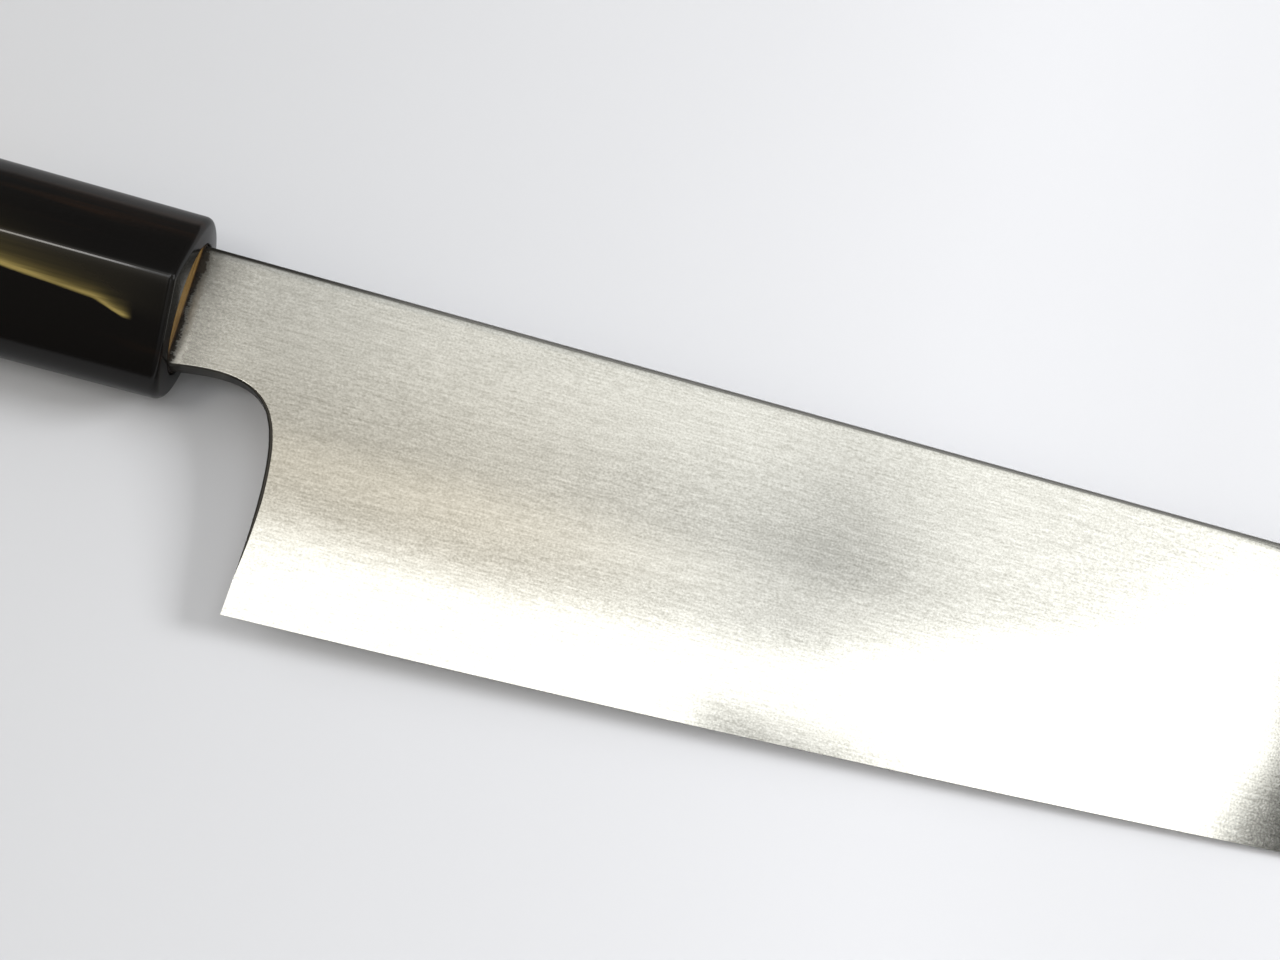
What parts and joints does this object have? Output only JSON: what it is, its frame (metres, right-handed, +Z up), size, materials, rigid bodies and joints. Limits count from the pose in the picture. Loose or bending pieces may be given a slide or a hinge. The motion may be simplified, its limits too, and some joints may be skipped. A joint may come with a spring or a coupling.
{
  "type": "gyuto knife",
  "caption": "Gyuto kitchen knife with a convex-ground laminated blade, hooked choil, hidden tang, D-section wooden handle and black horn ferrule.",
  "frame": {"origin": "middle of the knife's box, on the surface that the knife lies on", "axes": "+X along the handle and blade towards the tip, +Y towards the spine, +Z up, out of the right-hand face of the blade"},
  "size_m": [0.3956, 0.0514, 0.023],
  "materials": {
    "core_steel": "satin, brushed along the blade",
    "cladding_steel": "satin, brushed along the blade",
    "horn": "polished black buffalo horn with brown streaks",
    "magnolia": "sanded, unvarnished light wood",
    "resin": "dark set resin"
  },
  "bodies": {
    "root": {"blade_core": "core_steel", "cladding_right": "cladding_steel", "cladding_left": "cladding_steel", "ferrule": "horn", "handle": "magnolia", "tang_resin": "resin"}
  },
  "joints": []
}
